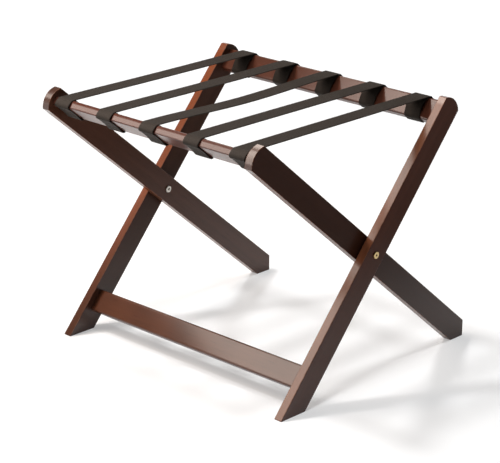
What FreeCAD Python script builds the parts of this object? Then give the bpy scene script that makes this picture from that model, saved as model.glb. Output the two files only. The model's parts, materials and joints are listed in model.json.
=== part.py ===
"""Folding luggage bench: two wooden leg frames crossed at a pivot and joined by five webbing straps.

Frame of the model: +X along the rails to the right, +Y towards the back, +Z up, in millimetres.
The origin is on the floor, midway between the front ends of the inner legs and their rear heels.

Both leg frames are drawn in a frame of their own whose origin is the pivot axis. There Y runs up
along the leg and Z runs across the leg's width, and one turn about X leans the frame to its angle.
The outer legs lean back from the front floor edge and carry the back rail and the stretcher. The
inner legs lean forward from the back floor edge and carry the front rail.
"""

import FreeCAD
import Part
import Sketcher
import math
import os

SIZES = (
    ("frame_length", 600.0, "between the outside faces of the two outer legs"),
    ("pivot_height", 259.0, "pivot axis above the floor"),
    ("outer_lean", 49.2, "outer legs, degrees up from the floor"),
    ("inner_lean", 40.1, "inner legs, degrees up from the floor"),
    ("leg_width", 50.0, "leg board, across its wide face"),
    ("leg_thickness", 18.0, "leg board"),
    ("leg_end_radius", 36.5, "rounded upper end, centred on the leg's middle line"),
    ("leg_end_margin", 10.5, "leg beyond the upper edge of its rail"),
    ("leg_corner", 1.2, "corners of the leg's outline, seen from the side"),
    ("leg_round", 1.0, "eased edges of the legs"),
    ("sole_length", 38.0, "flat sole of an inner leg, in front of its upright heel"),
    ("board_width", 46.5, "rails and stretcher, along the legs"),
    ("board_thickness", 18.0, "rails and stretcher, across the legs"),
    ("board_round", 4.0, "rounded long edges of the rails and stretcher"),
    ("front_rail_top", 388.0, "pivot to the upper edge of the front rail, along the inner legs"),
    ("stretcher_height", 55.0, "middle of the stretcher above the floor"),
    ("dowel_diameter", 8.0, "wooden dowel"),
    ("dowel_length", 30.0, "wooden dowel"),
    ("dowel_in_leg", 11.5, "length of a dowel that sits in the leg"),
    ("dowel_spacing", 24.0, "between the two dowels of a joint"),
    ("dowel_clearance", 0.05, "dowel to the side of its hole"),
    ("dowel_end_gap", 0.5, "dowel to the end of its hole"),
    ("pivot_gap", 4.6, "between the inner and the outer leg"),
    ("pivot_play", 0.1, "faces that turn on each other at the pivot"),
    ("pivot_clearance", 0.05, "turning and screwed fits of the pivot, on the radius"),
    ("barrel_diameter", 8.0, "barrel of the sleeve nut, on which the inner leg turns"),
    ("barrel_recess", 4.0, "end of the barrel below the outer leg's outside face"),
    ("bolt_diameter", 6.0, "shank of the pivot bolt"),
    ("bolt_reach", 20.0, "shank of the pivot bolt below its head"),
    ("bore_end_gap", 1.0, "end of the pivot bolt to the bottom of its bore"),
    ("head_diameter", 14.0, "heads of the pivot bolt and of the sleeve nut"),
    ("head_height", 2.6, "heads of the pivot bolt and of the sleeve nut"),
    ("head_round", 1.0, "rounded rim of those heads"),
    ("hex_across", 4.0, "hexagon socket of the pivot bolt, across its flats"),
    ("hex_depth", 3.4, "hexagon socket of the pivot bolt"),
    ("cross_width", 1.3, "one slot of the cross recess in the sleeve nut"),
    ("cross_length", 6.5, "one slot of the cross recess in the sleeve nut"),
    ("cross_depth", 1.6, "cross recess in the sleeve nut"),
    ("spacer_diameter", 22.0, "spacer ring between the legs"),
    ("strap_width", 38.0, "webbing"),
    ("strap_thickness", 1.6, "webbing"),
    ("strap_clearance", 0.3, "webbing loop to the rail that it goes round"),
    ("strap_margin", 8.4, "outermost webbing edge to the inner leg"),
)
STRAP_COUNT = 5
HEX_CORNERS = 6
SIDES = (("left", -1), ("right", 1))
NORMAL = FreeCAD.Vector(0, 0, 1)
ALONG_X = 0.99  # least share of a direction's length that counts as along X
SAME_PLACE = 0.01  # places nearer than this, in millimetres, count as one
SIZE = {name: value for name, value, _ in SIZES}

# Places worked out from the sizes, written as expressions of the sheet.
OUTER_SIN, OUTER_COS = "sin(Sizes.outer_lean)", "cos(Sizes.outer_lean)"
INNER_SIN, INNER_COS = "sin(Sizes.inner_lean)", "cos(Sizes.inner_lean)"
LEG_HALF = "(Sizes.leg_width / 2)"
CORNER = "(Sizes.board_thickness / 2 - Sizes.board_round)"
LAYER = "(Sizes.board_round + Sizes.strap_clearance)"
FRONT_CORNER = "(Sizes.front_rail_top - Sizes.board_round)"
# The webbing lies level. It starts as the front loop's own layer and passes over the back loop as a
# second layer, so the back rail's upper inner corner lies lower than the front rail's by one layer.
BACK_DROP = "(Sizes.strap_thickness + Sizes.strap_clearance)"
BACK_CORNER = (
    f"(({FRONT_CORNER} * {INNER_SIN} + {CORNER} * ({INNER_COS} - {OUTER_COS}) - {BACK_DROP})"
    f" / {OUTER_SIN})"
)
BACK_RAIL_TOP = f"({BACK_CORNER} + Sizes.board_round)"
INNER_REACH = "(Sizes.front_rail_top + Sizes.leg_end_margin)"
OUTER_REACH = f"({BACK_RAIL_TOP} + Sizes.leg_end_margin)"
STRETCHER_MIDDLE = f"(-(Sizes.pivot_height - Sizes.stretcher_height) / {OUTER_SIN})"
FRONT_RAIL_MIDDLE = "(Sizes.front_rail_top - Sizes.board_width / 2)"
BACK_RAIL_MIDDLE = f"({BACK_RAIL_TOP} - Sizes.board_width / 2)"
HEEL_REACH = (
    f"((Sizes.pivot_height * {INNER_COS} - {LEG_HALF}) / {INNER_SIN} + Sizes.sole_length)"
)
PIVOT_Y = (
    f"((({INNER_REACH} - Sizes.leg_end_radius) * {INNER_COS}"
    f" + Sizes.leg_end_radius - {HEEL_REACH}) / 2)"
)
OUTER_SPAN = "(Sizes.frame_length - 2 * Sizes.leg_thickness)"
INNER_INSET = "(2 * Sizes.leg_thickness + Sizes.pivot_gap)"
INNER_SPAN = f"(Sizes.frame_length - 2 * {INNER_INSET})"
STRAP_PITCH = (
    f"(({INNER_SPAN} - 2 * Sizes.strap_margin - Sizes.strap_width) / {STRAP_COUNT - 1})"
)
PIVOT_HOLE = "(Sizes.barrel_diameter / 2 + Sizes.pivot_clearance)"

OUTER, INNER = "outer", "inner"
LEAN = {OUTER: "Sizes.outer_lean", INNER: "180 - Sizes.inner_lean"}
LEG_MIDDLE = {
    OUTER: "(Sizes.frame_length / 2 - 0.5 * Sizes.leg_thickness)",
    INNER: "(Sizes.frame_length / 2 - 1.5 * Sizes.leg_thickness - Sizes.pivot_gap)",
}

document = FreeCAD.newDocument("LuggageBench")
sheet = document.addObject("Spreadsheet::Sheet", "Sizes")
subparts = []


def fill_sheet():
    """Write each driving size to the sheet: its name, its value with that alias, what it is."""
    for row, (name, value, meaning) in enumerate(SIZES, start=1):
        sheet.set(f"A{row}", name)
        sheet.set(f"B{row}", str(value))
        sheet.setAlias(f"B{row}", name)
        sheet.set(f"C{row}", meaning)
    document.recompute()


def bind(item, **expressions):
    """Bind properties to the sheet, with a double underscore for the dot inside a name."""
    for name, expression in expressions.items():
        item.setExpression(name.replace("__", "."), expression)


def value_of(expression):
    """The present value of an expression of the sheet, in millimetres or as a plain number."""
    result = sheet.evalExpression(expression)
    return float(getattr(result, "Value", result))


def place_in_frame(item, frame):
    """Stand an item that is drawn in a leg frame on the pivot axis, at that frame's lean."""
    item.Placement = FreeCAD.Placement(
        FreeCAD.Vector(0, 0, SIZE["pivot_height"]),
        FreeCAD.Rotation(FreeCAD.Vector(1, 0, 0), SIZE[f"{frame}_lean"]),
    )
    bind(
        item,
        Placement__Base__y=PIVOT_Y,
        Placement__Base__z="Sizes.pivot_height",
        Placement__Rotation__Angle=LEAN[frame],
    )


def new_subpart(kind, label):
    """A document object that becomes one file of the same name."""
    item = document.addObject(kind, label)
    item.Label = label
    subparts.append(item)
    return item


def new_body(label):
    return new_subpart("PartDesign::Body", label)


def plane_of(body, role):
    """One of a body's own origin planes."""
    return next(plane for plane in body.Origin.OriginFeatures if plane.Role == role)


def new_sketch(body, name, role="YZ_Plane", **offsets):
    """A sketch on one of the body's planes. Offsets x, y and z move it within that plane's axes."""
    sketch = body.newObject("Sketcher::SketchObject", f"{body.Name}_{name}")
    sketch.AttachmentSupport = [(plane_of(body, role), "")]
    sketch.MapMode = "FlatFace"
    for axis, expression in offsets.items():
        sketch.setExpression(f"AttachmentOffset.Base.{axis}", expression)
    return sketch


def dimension(sketch, name, expression, kind, *ends):
    """Add a named dimension to a sketch and bind it to the sheet."""
    index = sketch.addConstraint(Sketcher.Constraint(kind, *ends, value_of(expression)))
    sketch.renameConstraint(index, name)
    sketch.setExpression(f"Constraints.{name}", expression)


def point(x, y):
    return FreeCAD.Vector(x, y, 0)


def draw_circle(sketch, name, radius, x="0", y="0"):
    """A circle whose radius and centre are expressions."""
    centre = point(value_of(x), value_of(y))
    circle = sketch.addGeometry(Part.Circle(centre, NORMAL, value_of(radius)))
    dimension(sketch, f"{name}_radius", radius, "Radius", circle)
    for axis, place in (("X", x), ("Y", y)):
        dimension(sketch, f"{name}_{axis.lower()}", place, f"Distance{axis}", -1, 1, circle, 3)


def draw_chain(sketch, names, places):
    """A closed outline of straight lines through named points, each given as two expressions."""
    points = [point(value_of(x), value_of(y)) for x, y in places]
    lines = [
        sketch.addGeometry(Part.LineSegment(start, end))
        for start, end in zip(points, points[1:] + points[:1])
    ]
    for line, following in zip(lines, lines[1:] + lines[:1]):
        sketch.addConstraint(Sketcher.Constraint("Coincident", line, 2, following, 1))
    for line, name, (x, y) in zip(lines, names, places):
        dimension(sketch, f"{name}_x", x, "DistanceX", -1, 1, line, 1)
        dimension(sketch, f"{name}_y", y, "DistanceY", -1, 1, line, 1)


def draw_rounded_rectangle(sketch, name, width, height, radius):
    """A rectangle about the sketch's origin with equal round corners."""
    half_x, half_y, corner = value_of(width) / 2, value_of(height) / 2, value_of(radius)
    right, top = half_x - corner, half_y - corner
    edges = (
        ((-right, -half_y), (right, -half_y), "Horizontal"),
        ((half_x, -top), (half_x, top), "Vertical"),
        ((right, half_y), (-right, half_y), "Horizontal"),
        ((-half_x, top), (-half_x, -top), "Vertical"),
    )
    centres = ((right, -top), (right, top), (-right, top), (-right, -top))
    lines, arcs = [], []
    for turn, ((start, end, direction), centre) in enumerate(zip(edges, centres)):
        lines.append(sketch.addGeometry(Part.LineSegment(point(*start), point(*end))))
        sketch.addConstraint(Sketcher.Constraint(direction, lines[-1]))
        circle = Part.Circle(point(*centre), NORMAL, corner)
        first = (turn - 1) * math.pi / 2
        arcs.append(sketch.addGeometry(Part.ArcOfCircle(circle, first, first + math.pi / 2)))
    for side, (line, arc) in enumerate(zip(lines, arcs)):
        following = lines[(side + 1) % len(lines)]
        sketch.addConstraint(Sketcher.Constraint("Tangent", line, 2, arc, 1))
        sketch.addConstraint(Sketcher.Constraint("Tangent", arc, 2, following, 1))
    for arc in arcs[1:]:
        sketch.addConstraint(Sketcher.Constraint("Equal", arcs[0], arc))
    sketch.addConstraint(Sketcher.Constraint("Symmetric", lines[0], 1, lines[2], 1, -1, 1))
    dimension(sketch, f"{name}_width", width, "DistanceX", lines[3], 1, lines[1], 1)
    dimension(sketch, f"{name}_height", height, "DistanceY", lines[0], 1, lines[2], 1)
    dimension(sketch, f"{name}_radius", radius, "Radius", arcs[0])


def add_pad(body, sketch, length):
    pad = body.newObject("PartDesign::Pad", f"{sketch.Name}_pad")
    pad.Profile = sketch
    bind(pad, Length=length)
    document.recompute()
    return pad


def add_pocket(body, sketch, depth=None, towards_x=False):
    """Cut a sketch into its body, to a depth or right through, and make sure that it cut."""
    before = body.Shape.Volume
    pocket = body.newObject("PartDesign::Pocket", f"{sketch.Name}_pocket")
    pocket.Profile = sketch
    pocket.Reversed = towards_x
    if depth is None:
        pocket.Type = "ThroughAll"
    else:
        bind(pocket, Length=depth)
    document.recompute()
    if not body.Shape.Volume < before:
        raise ValueError(f"{pocket.Name} cuts nothing")
    return pocket


def add_fillet(body, name, base, parts, radius):
    """Round the named edges, or all edges of the named faces, of a body's present feature."""
    fillet = body.newObject("PartDesign::Fillet", f"{body.Name}_{name}")
    fillet.Base = (base, parts)
    bind(fillet, Radius=radius)
    document.recompute()
    return fillet


def dowel_places(middle):
    """Where a joint's two dowels stand along the leg, about the middle of its board."""
    return [f"{middle} + {sign} * Sizes.dowel_spacing / 2" for sign in (-1, 1)]


def draw_leg_outline(sketch, reach, foot):
    """Outline of a leg: two long edges, a rounded upper end, and a foot given by its points.

    Args:
        reach: expression for the tip of the upper end, along the leg from the pivot.
        foot: the foot's points, each as two expressions, from the lower long edge to the upper.
    """
    names = [f"foot_{number}" for number in range(len(foot))]
    centre_x = f"{reach} - Sizes.leg_end_radius"
    radius, half = SIZE["leg_end_radius"], SIZE["leg_width"] / 2
    centre = point(value_of(centre_x), 0)
    half_turn = math.asin(half / radius)
    end_x = centre.x + radius * math.cos(half_turn)
    points = [point(value_of(x), value_of(y)) for x, y in foot]
    circle = Part.Circle(centre, NORMAL, radius)
    low = sketch.addGeometry(Part.LineSegment(points[0], point(end_x, -half)))
    arc = sketch.addGeometry(Part.ArcOfCircle(circle, -half_turn, half_turn))
    high = sketch.addGeometry(Part.LineSegment(point(end_x, half), points[-1]))
    sole = [
        sketch.addGeometry(Part.LineSegment(start, end))
        for start, end in zip(points[:0:-1], points[-2::-1])
    ]
    loop = [low, arc, high, *sole]
    for piece, following in zip(loop, loop[1:] + loop[:1]):
        sketch.addConstraint(Sketcher.Constraint("Coincident", piece, 2, following, 1))
    sketch.addConstraint(Sketcher.Constraint("Horizontal", low))
    sketch.addConstraint(Sketcher.Constraint("Horizontal", high))
    sketch.addConstraint(Sketcher.Constraint("PointOnObject", arc, 3, -1))
    dimension(sketch, "end_radius", "Sizes.leg_end_radius", "Radius", arc)
    dimension(sketch, "end_centre", centre_x, "DistanceX", -1, 1, arc, 3)
    starts = [low, *reversed(sole)]
    for name, (x, y), piece in zip(names[:-1], foot, starts):
        dimension(sketch, f"{name}_x", x, "DistanceX", -1, 1, piece, 1)
        dimension(sketch, f"{name}_y", y, "DistanceY", -1, 1, piece, 1)
    dimension(sketch, f"{names[-1]}_x", foot[-1][0], "DistanceX", -1, 1, high, 2)
    dimension(sketch, f"{names[-1]}_y", foot[-1][1], "DistanceY", -1, 1, high, 2)


def make_leg(label, frame, sign, reach, foot, joint_middles):
    """A leg board with its eased edges, its pivot hole and the blind holes for its dowels."""
    body = new_body(label)
    sketch = new_sketch(body, "outline")
    draw_leg_outline(sketch, reach, foot)
    board = add_pad(body, sketch, "Sizes.leg_thickness")
    corners = [
        f"Edge{number}"
        for number, edge in enumerate(board.Shape.Edges, start=1)
        if abs(edge.tangentAt(edge.FirstParameter).x) > ALONG_X
    ]
    cornered = add_fillet(body, "corners", board, corners, "Sizes.leg_corner")
    faces = [
        f"Face{number}"
        for number, face in enumerate(cornered.Shape.Faces, start=1)
        if abs(face.normalAt(0, 0).x) > ALONG_X
    ]
    add_fillet(body, "rounding", cornered, faces, "Sizes.leg_round")
    pivot = new_sketch(body, "pivot")
    draw_circle(pivot, "pivot", PIVOT_HOLE)
    add_pocket(body, pivot, towards_x=True)
    # The dowels enter from the face that looks at the middle of the bench.
    inner_face = "Sizes.leg_thickness" if sign < 0 else "0"
    holes = new_sketch(body, "dowel_holes", z=inner_face)
    for number, place in enumerate(p for middle in joint_middles for p in dowel_places(middle)):
        draw_circle(
            holes, f"hole_{number}", "Sizes.dowel_diameter / 2 + Sizes.dowel_clearance", x=place
        )
    add_pocket(body, holes, "Sizes.dowel_in_leg + Sizes.dowel_end_gap", towards_x=sign > 0)
    place_in_frame(body, frame)
    bind(body, Placement__Base__x=f"{sign} * {LEG_MIDDLE[frame]} - 0.5 * Sizes.leg_thickness")


def make_legs():
    # Outer foot: cut flat to the floor over the leg's whole width.
    outer_foot = [
        (f"-(Sizes.pivot_height - {LEG_HALF} * {OUTER_COS}) / {OUTER_SIN}", f"-{LEG_HALF}"),
        (f"-(Sizes.pivot_height + {LEG_HALF} * {OUTER_COS}) / {OUTER_SIN}", LEG_HALF),
    ]
    # Inner foot: an upright heel, then a short flat sole up to the front edge of the leg.
    heel_across = f"({LEG_HALF} - Sizes.sole_length * {INNER_SIN})"
    inner_foot = [
        (f"-({HEEL_REACH} - {LEG_HALF} * {INNER_SIN}) / {INNER_COS}", f"-{LEG_HALF}"),
        (f"({heel_across} * {INNER_COS} - Sizes.pivot_height) / {INNER_SIN}", heel_across),
        (f"({LEG_HALF} * {INNER_COS} - Sizes.pivot_height) / {INNER_SIN}", LEG_HALF),
    ]
    for side, sign in SIDES:
        outer_joints = [BACK_RAIL_MIDDLE, STRETCHER_MIDDLE]
        make_leg(f"outer_leg_{side}", OUTER, sign, OUTER_REACH, outer_foot, outer_joints)
        make_leg(f"inner_leg_{side}", INNER, sign, INNER_REACH, inner_foot, [FRONT_RAIL_MIDDLE])


def make_board(label, frame, middle, span):
    """A rail or stretcher between the inside faces of two legs, with dowel holes in its ends."""
    body = new_body(label)
    section = new_sketch(body, "section", x=middle, z=f"-{span} / 2")
    draw_rounded_rectangle(
        section, "board", "Sizes.board_width", "Sizes.board_thickness", "Sizes.board_round"
    )
    add_pad(body, section, span)
    depth = "Sizes.dowel_length - Sizes.dowel_in_leg + Sizes.dowel_end_gap"
    for end, sign in SIDES:
        holes = new_sketch(body, f"{end}_holes", z=f"{sign} * {span} / 2")
        for number, place in enumerate(dowel_places(middle)):
            radius = "Sizes.dowel_diameter / 2 + Sizes.dowel_clearance"
            draw_circle(holes, f"hole_{number}", radius, x=place)
        add_pocket(body, holes, depth, towards_x=sign < 0)
    place_in_frame(body, frame)


def make_dowels(label, frame, middle, span):
    """The four dowels of a board, half in the board and half in the legs."""
    group = new_subpart("Part::Compound", label)
    dowels = []
    for side, sign in SIDES:
        for number, place in enumerate(dowel_places(middle)):
            dowel = document.addObject("Part::Cylinder", f"{label}_{side}_{number}")
            dowel.Placement = FreeCAD.Placement(
                FreeCAD.Vector(0, 0, 0), FreeCAD.Rotation(FreeCAD.Vector(0, 1, 0), 90)
            )
            start = "Sizes.dowel_in_leg" if sign < 0 else "Sizes.dowel_length - Sizes.dowel_in_leg"
            bind(
                dowel,
                Radius="Sizes.dowel_diameter / 2",
                Height="Sizes.dowel_length",
                Placement__Base__x=f"{sign} * {span} / 2 - ({start})",
                Placement__Base__y=place,
            )
            dowels.append(dowel)
    group.Links = dowels
    place_in_frame(group, frame)


def make_boards():
    boards = (
        ("back_rail", OUTER, BACK_RAIL_MIDDLE, OUTER_SPAN),
        ("stretcher", OUTER, STRETCHER_MIDDLE, OUTER_SPAN),
        ("front_rail", INNER, FRONT_RAIL_MIDDLE, INNER_SPAN),
    )
    for label, frame, middle, span in boards:
        make_board(label, frame, middle, span)
        make_dowels(f"{label}_dowels", frame, middle, span)


def place_at_pivot(item, sign):
    """Stand a piece of the pivot on the outer leg's outside face, with its +X pointing outwards."""
    half_turn = 0 if sign > 0 else 180
    item.Placement = FreeCAD.Placement(
        FreeCAD.Vector(0, 0, 0), FreeCAD.Rotation(NORMAL, half_turn)
    )
    bind(
        item,
        Placement__Base__x=f"{sign} * Sizes.frame_length / 2",
        Placement__Base__y=PIVOT_Y,
        Placement__Base__z="Sizes.pivot_height",
    )


def add_revolution(body, names, places):
    """Turn an outline in the body's XY plane a full turn about the body's X axis."""
    sketch = new_sketch(body, "profile", "XY_Plane")
    draw_chain(sketch, names, places)
    turned = body.newObject("PartDesign::Revolution", f"{body.Name}_turned")
    turned.Profile = sketch
    turned.ReferenceAxis = (sketch, ["H_Axis"])
    turned.Angle = 360
    document.recompute()
    return turned


def round_rim(body, base, rim_x):
    """Round the outer rim of a head: the widest circular edge at that place along X."""
    circles = [
        (edge.Curve.Radius, f"Edge{number}")
        for number, edge in enumerate(base.Shape.Edges, start=1)
        if isinstance(edge.Curve, Part.Circle) and abs(edge.CenterOfMass.x - rim_x) < SAME_PLACE
    ]
    add_fillet(body, "rim", base, [max(circles)[1]], "Sizes.head_round")


def make_bolt(label, sign):
    """Pivot bolt: a flat round head outside the outer leg, with a hexagon socket, and its shank."""
    body = new_body(label)
    head, shank = "Sizes.head_diameter / 2", "Sizes.bolt_diameter / 2"
    turned = add_revolution(
        body,
        ("tail", "top", "rim", "seat", "neck", "end"),
        (
            ("-Sizes.bolt_reach", "0"),
            ("Sizes.head_height", "0"),
            ("Sizes.head_height", head),
            ("0", head),
            ("0", shank),
            ("-Sizes.bolt_reach", shank),
        ),
    )
    round_rim(body, turned, SIZE["head_height"])
    socket = new_sketch(body, "socket", z="Sizes.head_height")
    names = [f"corner_{number}" for number in range(HEX_CORNERS)]
    corner_reach = f"Sizes.hex_across / 2 / cos({180 / HEX_CORNERS})"
    turns = [360 * number / HEX_CORNERS for number in range(HEX_CORNERS)]
    places = [(f"{corner_reach} * cos({turn})", f"{corner_reach} * sin({turn})") for turn in turns]
    draw_chain(socket, names, places)
    add_pocket(body, socket, "Sizes.hex_depth")
    place_at_pivot(body, sign)


def make_sleeve_nut(label, sign):
    """Sleeve nut: a round head on the inner leg and a barrel through both legs, bored for the bolt."""
    body = new_body(label)
    seat = f"-({INNER_INSET} + Sizes.pivot_play)"
    top = f"({seat} - Sizes.head_height)"
    head, barrel = "Sizes.head_diameter / 2", "Sizes.barrel_diameter / 2"
    bore = "(Sizes.bolt_diameter / 2 + Sizes.pivot_clearance)"
    bottom = "(-Sizes.bolt_reach - Sizes.bore_end_gap)"
    turned = add_revolution(
        body,
        ("top", "bottom", "bore", "mouth", "end", "root", "seat", "rim"),
        (
            (top, "0"),
            (bottom, "0"),
            (bottom, bore),
            ("-Sizes.barrel_recess", bore),
            ("-Sizes.barrel_recess", barrel),
            (seat, barrel),
            (seat, head),
            (top, head),
        ),
    )
    round_rim(body, turned, value_of(top))
    slot = new_sketch(body, "slot", z=top)
    long_half, wide_half = "Sizes.cross_length / 2", "Sizes.cross_width / 2"
    draw_chain(
        slot,
        ("first", "second", "third", "fourth"),
        (
            (f"-{long_half}", f"-{wide_half}"),
            (long_half, f"-{wide_half}"),
            (long_half, wide_half),
            (f"-{long_half}", wide_half),
        ),
    )
    cut = add_pocket(body, slot, "Sizes.cross_depth", towards_x=True)
    cross = body.newObject("PartDesign::PolarPattern", f"{label}_cross")
    cross.Originals = [cut]
    cross.Axis = (slot, ["N_Axis"])
    cross.Angle = 180
    cross.Occurrences = 2
    body.Tip = cross
    place_at_pivot(body, sign)


def make_spacer(label, sign):
    """Spacer ring that keeps the legs apart, seated on the outer leg."""
    body = new_body(label)
    length = "Sizes.pivot_gap - Sizes.pivot_play"
    ring = new_sketch(body, "ring", z=f"-(Sizes.leg_thickness + {length})")
    draw_circle(ring, "outside", "Sizes.spacer_diameter / 2")
    draw_circle(ring, "hole", PIVOT_HOLE)
    add_pad(body, ring, length)
    place_at_pivot(body, sign)


def make_pivots():
    for side, sign in SIDES:
        make_bolt(f"pivot_bolt_{side}", sign)
        make_sleeve_nut(f"pivot_sleeve_nut_{side}", sign)
        make_spacer(f"pivot_spacer_{side}", sign)


def make_strap_loop(label, frame, middle, strap_x):
    """Webbing once round a rail, clear of it by the strap's clearance."""
    body = new_body(label)
    section = new_sketch(body, "section", x=middle, z=f"{strap_x} - Sizes.strap_width / 2")
    layers = (("inside", "Sizes.strap_clearance"),
              ("outside", "(Sizes.strap_clearance + Sizes.strap_thickness)"))
    for name, off in layers:
        draw_rounded_rectangle(
            section,
            name,
            f"Sizes.board_width + 2 * {off}",
            f"Sizes.board_thickness + 2 * {off}",
            f"Sizes.board_round + {off}",
        )
    add_pad(body, section, "Sizes.strap_width")
    place_in_frame(body, frame)


def make_strap_deck(label, strap_x):
    """The level stretch of webbing, from the front loop's round corner to over the back loop's."""
    # The front loop's corner leaves the deck's layer at this distance from the corner's centre.
    over = f"sqrt(({LAYER} + Sizes.strap_thickness) ^ 2 - {LAYER} ^ 2) + Sizes.strap_clearance"
    front = f"-{FRONT_CORNER} * {INNER_COS} + {CORNER} * {INNER_SIN} + {over}"
    back = f"{BACK_CORNER} * {OUTER_COS} - {CORNER} * {OUTER_SIN} + Sizes.board_round"
    level = f"Sizes.pivot_height + {FRONT_CORNER} * {INNER_SIN} + {CORNER} * {INNER_COS} + {LAYER}"
    deck = new_subpart("Part::Box", label)
    bind(
        deck,
        Length="Sizes.strap_width",
        Width=f"{back} - ({front})",
        Height="Sizes.strap_thickness",
        Placement__Base__x=f"{strap_x} - Sizes.strap_width / 2",
        Placement__Base__y=f"{PIVOT_Y} + {front}",
        Placement__Base__z=level,
    )


def make_straps():
    for number in range(1, STRAP_COUNT + 1):
        strap_x = f"({number - (STRAP_COUNT + 1) / 2} * {STRAP_PITCH})"
        name = f"strap_{number}"
        make_strap_loop(f"{name}_front_loop", INNER, FRONT_RAIL_MIDDLE, strap_x)
        make_strap_deck(f"{name}_deck", strap_x)
        make_strap_loop(f"{name}_back_loop", OUTER, BACK_RAIL_MIDDLE, strap_x)


def check_document():
    """Stop before anything is written if an object failed or a sub-part has no sound shape."""
    document.recompute()
    for item in document.Objects:
        if {"Invalid", "Error"} & set(item.State):
            raise ValueError(f"{item.Label} didn't compute: {item.State}")
    for item in subparts:
        if item.Shape.isNull() or not item.Shape.isValid():
            raise ValueError(f"{item.Label} has no valid shape")


def write_subparts():
    os.makedirs("parts", exist_ok=True)
    for item in subparts:
        item.Shape.exportStep(f"parts/{item.Label}.step")
        box = item.Shape.BoundBox
        print(
            f"{item.Label}: {len(item.Shape.Solids)} solid(s), {item.Shape.Volume:.0f} mm3,"
            f" x {box.XMin:.1f} {box.XMax:.1f} y {box.YMin:.1f} {box.YMax:.1f}"
            f" z {box.ZMin:.1f} {box.ZMax:.1f}"
        )


def main():
    fill_sheet()
    make_legs()
    make_boards()
    make_pivots()
    make_straps()
    check_document()
    write_subparts()


main()
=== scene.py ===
"""Finish of the folding luggage bench: stained boards, webbing straps and pivot hardware.

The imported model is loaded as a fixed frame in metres: +X along the rails, +Y to the back, +Z up.
The wooden boards, dowels, bolts, nuts and spacers stay where they are and get their finishes here.
Each strap is woven anew as one ribbon that goes round the front rail, across the deck and round
the back rail, in the place of its three plain solids.
"""

from __future__ import annotations

import json
import logging
import math
import sys
from dataclasses import dataclass
from enum import Enum

import bmesh
import bpy
from mathutils import Matrix, Quaternion, Vector

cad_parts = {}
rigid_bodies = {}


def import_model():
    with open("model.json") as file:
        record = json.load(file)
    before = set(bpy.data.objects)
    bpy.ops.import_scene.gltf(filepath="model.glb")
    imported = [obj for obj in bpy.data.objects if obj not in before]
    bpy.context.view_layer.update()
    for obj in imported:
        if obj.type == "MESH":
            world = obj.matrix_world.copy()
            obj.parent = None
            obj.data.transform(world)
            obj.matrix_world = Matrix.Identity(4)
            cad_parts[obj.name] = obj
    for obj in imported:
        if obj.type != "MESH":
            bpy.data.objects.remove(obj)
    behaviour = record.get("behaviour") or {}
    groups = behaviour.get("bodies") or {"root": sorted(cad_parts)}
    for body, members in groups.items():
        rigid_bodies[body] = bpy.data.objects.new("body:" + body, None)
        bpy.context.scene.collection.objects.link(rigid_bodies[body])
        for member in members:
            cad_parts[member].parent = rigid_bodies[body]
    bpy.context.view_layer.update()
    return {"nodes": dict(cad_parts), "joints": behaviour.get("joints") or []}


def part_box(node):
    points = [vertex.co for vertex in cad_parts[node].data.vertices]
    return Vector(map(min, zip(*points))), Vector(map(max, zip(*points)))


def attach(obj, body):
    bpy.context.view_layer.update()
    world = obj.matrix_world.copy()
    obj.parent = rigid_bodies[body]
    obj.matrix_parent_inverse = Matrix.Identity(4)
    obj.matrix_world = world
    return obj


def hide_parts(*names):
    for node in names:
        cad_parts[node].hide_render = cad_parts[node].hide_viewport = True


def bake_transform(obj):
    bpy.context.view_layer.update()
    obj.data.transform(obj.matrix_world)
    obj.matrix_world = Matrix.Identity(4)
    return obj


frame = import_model()

log = logging.getLogger("luggage_bench")

Colour = tuple[float, float, float]
Place = tuple[float, float, float]
Span = tuple[float, float]
Rounds = tuple[float, float, float, float]
Corner = tuple[Vector, float, float, float]
WHITE: Colour = (1.0, 1.0, 1.0)
MILLIMETRE = 0.001
FULL_TURN = 2 * math.pi
INNER_BODY, OUTER_BODY = "inner_frame", "outer_frame"


# ---------------------------------------------------------------------------------------------
# Node trees


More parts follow.
